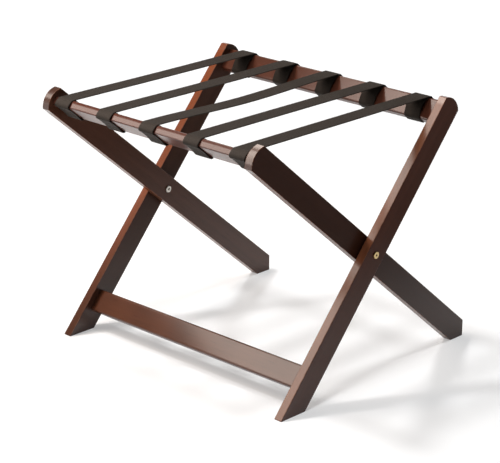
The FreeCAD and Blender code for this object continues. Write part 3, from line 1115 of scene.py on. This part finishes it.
@dataclass(frozen=True)
class FrontRail:
    """The front rail, planed rounder along its upper edge, with its four dowel bores."""

    rails: Rails = Rails()
    arc_steps: int = 10
    sharp_angle: float = math.radians(40)
    bore_radius: float = 0.00405
    bore_depth: float = 0.019
    bore_offset: float = 0.012
    bore_sides: int = 40

    def build(self, wood: bpy.types.Material) -> None:
        """Make the rail in the place of its plain solid.

        Args:
            wood: The stain of this board.
        """
        low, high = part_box("front_rail")
        section = self.rails.front()
        blank = add_object("rail_blank", self.blank(section, low.x, high.x))
        drill = add_object("rail_drill", self.drill(section, low.x, high.x))
        cut = blank.modifiers.new("Bores", "BOOLEAN")
        cut.operation, cut.solver, cut.object = "DIFFERENCE", "EXACT", drill
        flat = blank.modifiers.new("Flats", "WEIGHTED_NORMAL")
        flat.keep_sharp = True
        rail = add_object("front_rail_planed", baked(blank, "front_rail_planed"))
        for spare in (blank, drill):
            discard(spare)
        rail.data.materials.clear()
        rail.data.materials.append(wood)
        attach(rail, INNER_BODY)
        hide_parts("front_rail")
        log.info("planed front_rail_planed with %d faces", len(rail.data.polygons))

    def blank(self, section: RailSection, left: float, right: float) -> bpy.types.Mesh:
        """The rail before its bores: its section drawn out along X.

        Args:
            section: The rail's section.
            left: Place of its left end.
            right: Place of its right end.

        Returns:
            A closed mesh, smooth round its edges and sharp at its ends.
        """
        ring = section.ring(self.arc_steps)
        count = len(ring)
        spots = [Vector((x, point.y, point.z)) for x in (left, right) for point in ring]
        sides = [(n, (n + 1) % count, count + (n + 1) % count, count + n) for n in range(count)]
        ends = [tuple(range(count))[::-1], tuple(range(count, 2 * count))]
        mesh = bpy.data.meshes.new("rail_blank")
        mesh.from_pydata(spots, [], sides + ends)
        shape = bmesh.new()
        shape.from_mesh(mesh)
        bmesh.ops.recalc_face_normals(shape, faces=shape.faces)
        shape.to_mesh(mesh)
        shape.free()
        mesh.shade_smooth()
        mesh.set_sharp_from_angle(angle=self.sharp_angle)
        return mesh

    def drill(self, section: RailSection, left: float, right: float) -> bpy.types.Mesh:
        """Four drills, two for each end of the rail.

        Args:
            section: The rail's section.
            left: Place of its left end.
            right: Place of its right end.

        Returns:
            Their closed cylinders.
        """
        along = Vector((0, math.cos(section.lean), math.sin(section.lean)))
        shape = bmesh.new()
        for end in (left, right):
            for side in (-1, 1):
                middle = section.centre + along * (side * self.bore_offset) + Vector((end, 0, 0))
                bmesh.ops.create_cone(
                    shape,
                    cap_ends=True,
                    segments=self.bore_sides,
                    radius1=self.bore_radius,
                    radius2=self.bore_radius,
                    depth=2 * self.bore_depth,
                    matrix=Matrix.Translation(middle) @ Matrix.Rotation(math.pi / 2, 4, "Y"),
                )
        mesh = bpy.data.meshes.new("rail_drill")
        shape.to_mesh(mesh)
        shape.free()
        return mesh


@dataclass(frozen=True)
class WoodenFrames:
    """The two leg frames: their boards and the dowels that join them."""

    rails: Rails = Rails()
    leg_width: float = 0.050
    outer_reach: float = 0.3395
    inner_reach: float = 0.3985
    heart_step: float = 0.173
    heart_line: Place = (1.0, 1.7, 2.3)
    stains: tuple[Stain, ...] = (
        Stain((0.070, 0.030, 0.019), (0.205, 0.053, 0.019), gloss=0.15, dry=0.34, foot_shade=0.9),
        Stain((0.085, 0.027, 0.015), (0.175, 0.060, 0.028), gloss=0.57, matt=0.18),
        Stain((0.112, 0.044, 0.026), (0.150, 0.055, 0.028), matt=0.26, dry=0.46, end=0.8),
        Stain((0.052, 0.019, 0.011), (0.150, 0.055, 0.028), matt=0.26, end=0.6),
        # The back rail's and the stretcher's colours are their stain darkened by painted shade.
        Stain((0.060, 0.023, 0.012), (0.094, 0.031, 0.018), gloss=0.36, matt=0.13, tilt=0.75),
        Stain((0.060, 0.023, 0.012), (0.105, 0.036, 0.018), gloss=0.62, matt=0.12),
        Stain((0.055, 0.018, 0.012), (0.105, 0.034, 0.022), gloss=0.56, matt=0.18, crown=0.85),
    )
    wood: StainedWood = StainedWood()
    beech: Flecked = Flecked(
        "beech",
        tone=(0.56, 0.36, 0.19),
        fleck=(0.40, 0.23, 0.11),
        limits=(0.35, 0.7),
        scale=1500.0,
        relief_scale=1500.0,
        relief=0.00005,
        roughness=0.6,
        fleck_roughness=0.2,
        stretch=(0.08, 1.0, 1.0),
    )

    def boards(self) -> list[Board]:
        """List the wooden boards, each with a place of its own in the tree.

        Returns:
            The four legs and then the three rails, in the order of their stains.
        """
        outer, inner = self.rails.outer_lean, self.rails.inner_lean
        pairs = (("outer", outer, self.outer_reach), ("inner", inner, self.inner_reach))
        legs = [
            (f"{pair}_leg_{side}", lean, Grain.ALONG_LEG, self.leg_width, reach)
            for pair, lean, reach in pairs
            for side in ("left", "right")
        ]
        rails = [
            (node, lean, Grain.ALONG_RAIL, self.rails.width, 0.0)
            for node, lean in (("back_rail", outer), ("stretcher", outer), ("front_rail", inner))
        ]
        return [
            Board(
                node,
                self.centre_of(node, grain),
                lean,
                grain,
                width / 2,
                self.rails.thickness / 2,
                tuple(self.heart_step * (number + 1) * part for part in self.heart_line),
                self.stains[number],
                reach,
            )
            for number, (node, lean, grain, width, reach) in enumerate(legs + rails)
        ]

    @staticmethod
    def centre_of(node: str, grain: Grain) -> Vector:
        """Find a point of a board's middle line.

        Args:
            node: The board's node.
            grain: Whether it is a rail or a leg.

        Returns:
            The middle of a rail, or the pivot's place in the middle plane of a leg.
        """
        low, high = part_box(node)
        middle = (low + high) / 2
        if grain is Grain.ALONG_LEG:
            _, middle.y, middle.z = frame["joints"][0]["pos_m"]
        return middle

    def build(self) -> None:
        """Stain the boards and leave the dowels bare."""
        for board in self.boards():
            wood = self.wood.material(board)
            if board.node == "front_rail":
                FrontRail().build(wood)
            else:
                dress(board.node, wood)
        beech = self.beech.material()
        for rail in ("back_rail", "stretcher", "front_rail"):
            dress(f"{rail}_dowels", beech)


@dataclass(frozen=True)
class StrapFit:
    """How one strap differs from its neighbours.

    Attributes:
        sag: Dip of the deck at its middle.
        drop: Slack of the front loop at the rail's lower edge.
        drift: Sideways shift of the back loop's return.
    """

    sag: float
    drop: float
    drift: float


@dataclass(frozen=True)
class Webbing:
    """Five webbing straps, each one ribbon from its front loop across the deck to its back loop."""

    width: float = 0.038
    thickness: float = 0.0016
    clearance: float = 0.0003
    selvedge: float = 0.0021
    rails: Rails = Rails()
    spacing: float = 0.0015
    columns: int = 16
    deck_steps: int = 40
    back_overlap: float = 0.0095
    front_gap: float = 0.0062
    slack_place: float = 0.93
    slack_reach: float = 0.020
    front_belly: float = 0.0018
    front_belly_place: float = 1.5
    front_belly_reach: float = 0.015
    tuck_gap: float = 0.002
    tuck_reach: float = 0.012
    back_belly: float = 0.0045
    back_belly_reach: float = 0.026
    drift_place: float = 0.55
    drift_reach: float = 0.04
    groove_place: float = 0.95
    groove_reach: float = 0.45
    groove_depth: float = 0.16
    rim_reach: float = 0.5
    rim_drop: float = 0.6
    fits: tuple[StrapFit, ...] = (
        StrapFit(0.0007, 0.0016, 0.0),
        StrapFit(0.0010, 0.0019, -0.0006),
        StrapFit(0.0055, 0.0021, -0.0010),
        StrapFit(0.0000, 0.0019, -0.0008),
        StrapFit(0.0002, 0.0014, -0.0035),
    )
    weave: WovenWebbing = WovenWebbing()
    thread: Flecked = Flecked(
        "thread",
        tone=(0.032, 0.028, 0.024),
        fleck=(0.085, 0.075, 0.066),
        limits=(0.3, 0.7),
        scale=2600.0,
        relief_scale=2600.0,
        relief=0.00008,
        roughness=0.75,
        fleck_roughness=-0.2,
    )
    bead_segments: int = 8
    bead_rings: int = 6
    stitch_seed: int = 4
    stitch_spread: Span = (0.88, 1.08)
    stitch_pitch: float = 0.0030
    stitch_length: float = 0.0023
    stitch_radius: float = 0.00032
    stitch_rows: tuple[float, ...] = (0.0045, 0.0095)
    stitch_margin: float = 0.0028

    def front_loop(self, fit: StrapFit) -> list[Vector]:
        """Lay the middle line of the front loop.

        Args:
            fit: The strap's own fit.

        Returns:
            Its points, from its end under the deck to the level top.
        """
        rail = self.rails.front()
        lift = self.clearance + self.thickness / 2
        slack_at = 2 * (rail.half_thickness + rail.half_width) * self.slack_place
        belly_at = self.front_belly_place * rail.half_thickness
        points = []
        for point, away, length in rail.wrap(rail.perimeter() - self.front_gap):
            slack = fit.drop * bell((length - slack_at) / self.slack_reach)
            belly = self.front_belly * bell((length - belly_at) / self.front_belly_reach)
            points.append(point + away * (lift + slack + belly))
        return points[::-1]

    def back_loop(self, fit: StrapFit) -> list[Vector]:
        """Lay the middle line of the back loop.

        Args:
            fit: The strap's own fit.

        Returns:
            Its points, from the level top once round to its covered end.
        """
        rail = self.rails.back()
        lift = self.clearance + self.thickness / 2
        layer = self.clearance + self.thickness
        full = rail.perimeter()
        points = []
        for point, away, length in rail.wrap(full + self.back_overlap):
            over = 1 - smooth((length - self.back_overlap - self.tuck_gap) / self.tuck_reach)
            belly = bell((length - full + rail.half_width) / self.back_belly_reach)
            side = fit.drift * smooth((length - full * self.drift_place) / self.drift_reach)
            height = lift + layer * over + self.back_belly * belly
            points.append(point + away * height + Vector((side, 0, 0)))
        return points

    def route(self, fit: StrapFit) -> list[Vector]:
        """Lay the middle line of a whole strap, in the plane across the rails.

        Args:
            fit: The strap's own fit.

        Returns:
            Its points, from the end of its front loop to the end of its back loop.
        """
        front, back = self.front_loop(fit), self.back_loop(fit)
        begin, end = front[-1], back[0]
        deck = []
        for step in range(1, self.deck_steps):
            share = step / self.deck_steps
            dip = fit.sag * (1 - math.cos(FULL_TURN * share)) / 2
            deck.append(begin.lerp(end, share) - Vector((0, 0, dip)))
        return front + deck + back

    def sweep_tree(self, cloth: bpy.types.Material) -> Builder:
        """Build the tree that sweeps the webbing's section along a strap's middle line.

        Args:
            cloth: The webbing's material.

        Returns:
            A tree whose mesh carries a map of metres across and along the strap.
        """
        tree = Builder(
            "webbing_sweep",
            {
                "Width": self.width,
                "Thickness": self.thickness,
                "Selvedge": self.selvedge,
                "Spacing": self.spacing,
                "Columns": self.columns,
                "Finish": cloth,
            },
        )
        half_width, half_thick = tree.given("Width") * 0.5, tree.given("Thickness") * 0.5
        line = tree.node(
            "GeometryNodeResampleCurve",
            {"mode": "LENGTH"},
            {"Curve": tree.given("Geometry"), "Length": tree.given("Spacing")},
        )
        line = tree.node(
            "GeometryNodeSetCurveNormal", {"mode": "FREE"}, {"Curve": line, "Normal": (1, 0, 0)}
        )
        reached = tree.node("GeometryNodeSplineParameter", output="Length")
        line = tree.remember(line, "along", reached)
        columns = tree.given("Columns")
        ring = tree.node(
            "GeometryNodeCurvePrimitiveCircle",
            {"mode": "RADIUS"},
            {"Resolution": columns * 2, "Radius": half_width},
        )
        number = tree.node("GeometryNodeInputIndex")
        # The lower face comes first, left to right, and then the upper face, right to left.
        upper = number > (columns - 0.5)
        share = (number - upper * columns) / (columns - 1)
        run = (share * 2 - 1) * (1 - upper * 2)
        across = (run * (math.pi / 2)).sine()
        inward = (1 - abs(across)) * half_width
        groove = (inward / tree.given("Selvedge")).bell(self.groove_place, self.groove_reach)
        rim = 1 - (inward / (half_thick * self.rim_reach)).rising(0.0, 1.0)
        height = (upper * 2 - 1) * half_thick * (1 - groove * self.groove_depth)
        height = height * (1 - rim * self.rim_drop)
        ring = tree.node(
            "GeometryNodeSetPosition",
            inputs={"Geometry": ring, "Position": tree.vector(across * half_width, height, 0)},
        )
        ring = tree.remember(ring, "across", across * half_width)
        inputs = {"Curve": line, "Profile Curve": ring, "Fill Caps": True}
        ribbon = tree.node("GeometryNodeCurveToMesh", inputs=inputs)
        pair = tree.vector(tree.recall("across"), tree.recall("along"), 0)
        ribbon = tree.node(
            "GeometryNodeStoreNamedAttribute",
            {"data_type": "FLOAT2", "domain": "CORNER"},
            {"Geometry": ribbon, "Name": "UVMap", "Value": pair},
        )
        tree.close(ribbon)
        return tree

    def stitch_tree(self) -> Builder:
        """Build the tree that sets a thread stitch at each step along its curves.

        Returns:
            The tree.
        """
        tree = Builder(
            "stitch_rows",
            {
                "Pitch": self.stitch_pitch,
                "Length": self.stitch_length,
                "Radius": self.stitch_radius,
                "Seed": self.stitch_seed,
                "Finish": self.thread.material(),
            },
        )
        spots = tree.node(
            "GeometryNodeCurveToPoints",
            {"mode": "LENGTH"},
            {"Curve": tree.given("Geometry"), "Length": tree.given("Pitch")},
        )
        lengthwise = tree.node(
            "FunctionNodeAlignRotationToVector", {"axis": "X"}, {"Vector": spots.output("Tangent")}
        )
        faces = {"Segments": self.bead_segments, "Rings": self.bead_rings, "Radius": 1.0}
        bead = tree.node("GeometryNodeMeshUVSphere", inputs=faces)
        radius = tree.given("Radius")
        shape = tree.vector(tree.given("Length") * 0.5, radius, radius)
        bead = tree.node("GeometryNodeTransform", inputs={"Geometry": bead, "Scale": shape})
        shortest, longest = self.stitch_spread
        uneven = tree.node(
            "FunctionNodeRandomValue",
            {"data_type": "FLOAT"},
            {"Min_001": shortest, "Max_001": longest, "Seed": tree.given("Seed")},
            "Value_001",
        )
        stitches = tree.node(
            "GeometryNodeInstanceOnPoints",
            inputs={
                "Points": spots,
                "Instance": bead,
                "Rotation": lengthwise,
                "Scale": tree.vector(uneven, 1.0, 1.0),
            },
        )
        tree.close(stitches)
        return tree

    def build(self) -> None:
        """Weave the straps and sew their back loops."""
        sweep = self.sweep_tree(self.weave.material(self.width / 2, self.selvedge))
        for number, fit in enumerate(self.fits, start=1):
            name = f"strap_{number}"
            low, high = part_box(f"{name}_deck")
            middle = Vector(((low.x + high.x) / 2, 0, 0))
            route = [point + middle for point in self.route(fit)]
            strap = sweep.grow(name, add_curve(f"{name}_line", [route]))
            self.fit_to_frames(strap, name, self.length_of(route))
        self.sew()

    @staticmethod
    def length_of(route: list[Vector]) -> float:
        """Length of a strap's middle line."""
        return sum((after - before).length for before, after in zip(route, route[1:]))

    def fit_to_frames(self, strap: bpy.types.Object, name: str, length: float) -> None:
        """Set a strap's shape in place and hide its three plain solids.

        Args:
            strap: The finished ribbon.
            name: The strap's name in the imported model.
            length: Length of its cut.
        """
        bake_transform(strap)
        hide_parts(f"{name}_front_loop", f"{name}_deck", f"{name}_back_loop")
        log.info("wove %s, cut %.0f mm long", name, length / MILLIMETRE)

    def sew(self) -> None:
        """Sew two rows of stitches across each strap over the top of the back rail."""
        rail = self.rails.back()
        surface = rail.wrap(rail.perimeter())
        lift = 2 * (self.clearance + self.thickness)
        rows = []
        for number in range(1, len(self.fits) + 1):
            low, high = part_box(f"strap_{number}_deck")
            ends = (low.x + self.stitch_margin, high.x - self.stitch_margin)
            for place in self.stitch_rows:
                point, away, _ = min(surface, key=lambda row: abs(row[2] - place))
                spot = point + away * lift
                rows.append([Vector((x, spot.y, spot.z)) for x in ends])
        lines = add_curve("stitch_lines", rows)
        stitches = self.stitch_tree().grow("back_loop_stitches", lines)
        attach(stitches, OUTER_BODY)
        log.info("sewed %d rows of stitches", len(rows))


# ---------------------------------------------------------------------------------------------
# Studio


@dataclass(frozen=True)
class Camera:
    """Where the bench is seen from.

    Attributes:
        azimuth: Turn about Z, 0 looking along +Y, in degrees.
        elevation: Height above level, in degrees.
        roll: Turn about the line of sight, in degrees.
        distance: From the target.
        target: Point in the middle of the picture.
        lens: Focal length in millimetres on the sensor's width.
        sensor: Width of the sensor in millimetres.
    """

    azimuth: float = 43.731
    elevation: float = 19.531
    roll: float = 0.319
    distance: float = 3.9588
    target: Vector = Vector((-0.027, 0.0045, 0.2239))
    lens: float = 143.64
    sensor: float = 36.0

    def build(self) -> None:
        """Make it the scene's camera."""
        turn, rise, roll = map(math.radians, (self.azimuth, self.elevation, self.roll))
        back = Vector(
            (math.sin(turn) * math.cos(rise), -math.cos(turn) * math.cos(rise), math.sin(rise))
        )
        level = Vector((math.cos(turn), math.sin(turn), 0.0))
        right = level * math.cos(roll) + back.cross(level) * math.sin(roll)
        axes = Matrix((right, back.cross(right), back)).transposed()
        data = bpy.data.cameras.new("camera")
        data.sensor_fit = "HORIZONTAL"
        data.sensor_width = self.sensor
        data.lens = self.lens
        camera = add_object("camera", data)
        place = Matrix.Translation(self.target + back * self.distance)
        camera.matrix_world = place @ axes.to_4x4()
        bpy.context.scene.camera = camera


@dataclass(frozen=True)
class Sun:
    """A distant soft lamp.

    Attributes:
        name: Its name.
        towards: Direction from the bench to the lamp.
        strength: Light on a surface that faces it.
        spread: Width of the lamp as seen from the bench, in degrees.
    """

    name: str
    towards: Place
    strength: float
    spread: float

    def build(self) -> None:
        """Hang the lamp."""
        data = bpy.data.lights.new(self.name, "SUN")
        data.energy = self.strength
        data.angle = math.radians(self.spread)
        lamp = add_object(self.name, data)
        lamp.visible_glossy = False
        lamp.rotation_mode = "QUATERNION"
        lamp.rotation_quaternion = Vector(self.towards).to_track_quat("Z", "Y")


@dataclass(frozen=True)
class Softbox:
    """A near panel of light that faces the bench.

    Attributes:
        name: Its name.
        place: Its middle.
        aim: The point that it faces.
        width: Its level side.
        height: Its other side.
        power: Its power in watts.
        turn: Its turn in its own plane, in degrees.
        warmth: Its colour.
    """

    name: str
    place: Place
    aim: Place
    width: float
    height: float
    power: float
    turn: float = 0.0
    warmth: Colour = (1.0, 0.88, 0.79)

    def build(self) -> None:
        """Hang the panel."""
        data = bpy.data.lights.new(self.name, "AREA")
        data.shape = "RECTANGLE"
        data.size, data.size_y = self.width, self.height
        data.energy = self.power
        data.color = self.warmth
        lamp = add_object(self.name, data)
        lamp.location = self.place
        lamp.rotation_mode = "QUATERNION"
        facing = (Vector(self.place) - Vector(self.aim)).to_track_quat("Z", "Y")
        lamp.rotation_quaternion = facing @ Quaternion((0, 0, 1), math.radians(self.turn))


@dataclass(frozen=True)
class Studio:
    """Pale floor, soft lamps and a dim surround."""

    suns: tuple[Sun, ...] = (
        Sun("key", (-0.553, -0.25, 1.0), 1.30, 7.0),
        Sun("fill", (0.07, 0.0, 1.0), 1.22, 9.0),
    )
    panels: tuple[Softbox, ...] = (
        Softbox("panel", (-1.075, -0.987, 1.886), (0.0, 0.0, 0.3), 1.0, 1.4, 30.0),
        Softbox("low_panel", (-1.295, -2.016, 1.135), (0.27, -0.31, 0.52), 0.6, 1.05, 11.0),
        Softbox("top_panel", (-0.952, 0.416, 1.65), (0.285, -0.30, 0.50), 0.36, 1.0, 6.5, turn=-47.3),
    )
    surround: float = 0.08
    white_band: Span = (0.12, 0.22)
    floor_radius: float = 60.0
    floor_colour: Colour = (0.61, 0.62, 0.63)
    floor_glow: float = 0.36
    far_glow: float = 0.60
    glow_span: Span = (1.1, 3.2)

    def build(self) -> None:
        """Set the bench in its light."""
        bpy.context.scene.view_settings.view_transform = "Standard"
        Camera().build()
        for lamp in self.suns + self.panels:
            lamp.build()
        self.world()
        self.floor()

    def world(self) -> None:
        """Dim even light from all round, which is seen white behind the far edge of the floor."""
        world = bpy.data.worlds.new("surround")
        world.use_nodes = True
        graph = Graph(world.node_tree)
        height = graph.node("ShaderNodeTexCoord", output="Generated").parts()[2]
        band = 1 - height.rising(*self.white_band)
        glow = band * self.seen(graph) * (1.0 - self.surround) + self.surround
        light = graph.node("ShaderNodeBackground", inputs={"Color": WHITE, "Strength": glow})
        graph.node("ShaderNodeOutputWorld", inputs={"Surface": light})
        bpy.context.scene.world = world

    @staticmethod
    def seen(graph: Graph) -> Signal:
        """Tell what the camera sees, also by reflection or through glass.

        Args:
            graph: The node tree of a material or the world.

        Returns:
            One for such light, and zero for what lights the bench.
        """
        path = graph.node("ShaderNodeLightPath", output="Is Camera Ray")
        seen = path.at_least(path.output("Is Glossy Ray"))
        return seen.at_least(path.output("Is Transmission Ray"))

    def floor(self) -> None:
        """A wide pale floor that stays white to its far edge and keeps the bench's shadow."""
        mesh = bpy.data.meshes.new("floor")
        reach = self.floor_radius
        corners = [(-reach, -reach, 0), (reach, -reach, 0), (reach, reach, 0), (-reach, reach, 0)]
        mesh.from_pydata(corners, [], [(0, 1, 2, 3)])
        surface = Surface("floor")
        matt = surface.node("ShaderNodeBsdfDiffuse", inputs={"Color": self.floor_colour})
        away = surface.length(surface.place())
        glow = away.rising(*self.glow_span) * (self.far_glow - self.floor_glow) + self.floor_glow
        inputs = {"Color": WHITE, "Strength": glow * self.seen(surface)}
        shine = surface.node("ShaderNodeEmission", inputs=inputs)
        both = surface.node("ShaderNodeAddShader", inputs={0: matt, 1: shine})
        surface.node("ShaderNodeOutputMaterial", inputs={"Surface": both})
        mesh.materials.append(surface.material)
        floor = add_object("floor", mesh)


def main() -> None:
    """Build the sub-assemblies in order, then the studio."""
    logging.basicConfig(level=logging.INFO, format="%(name)s: %(message)s", stream=sys.stdout)
    WoodenFrames().build()
    Pivots().build()
    Webbing().build()
    Studio().build()


if __name__ == "__main__":
    main()
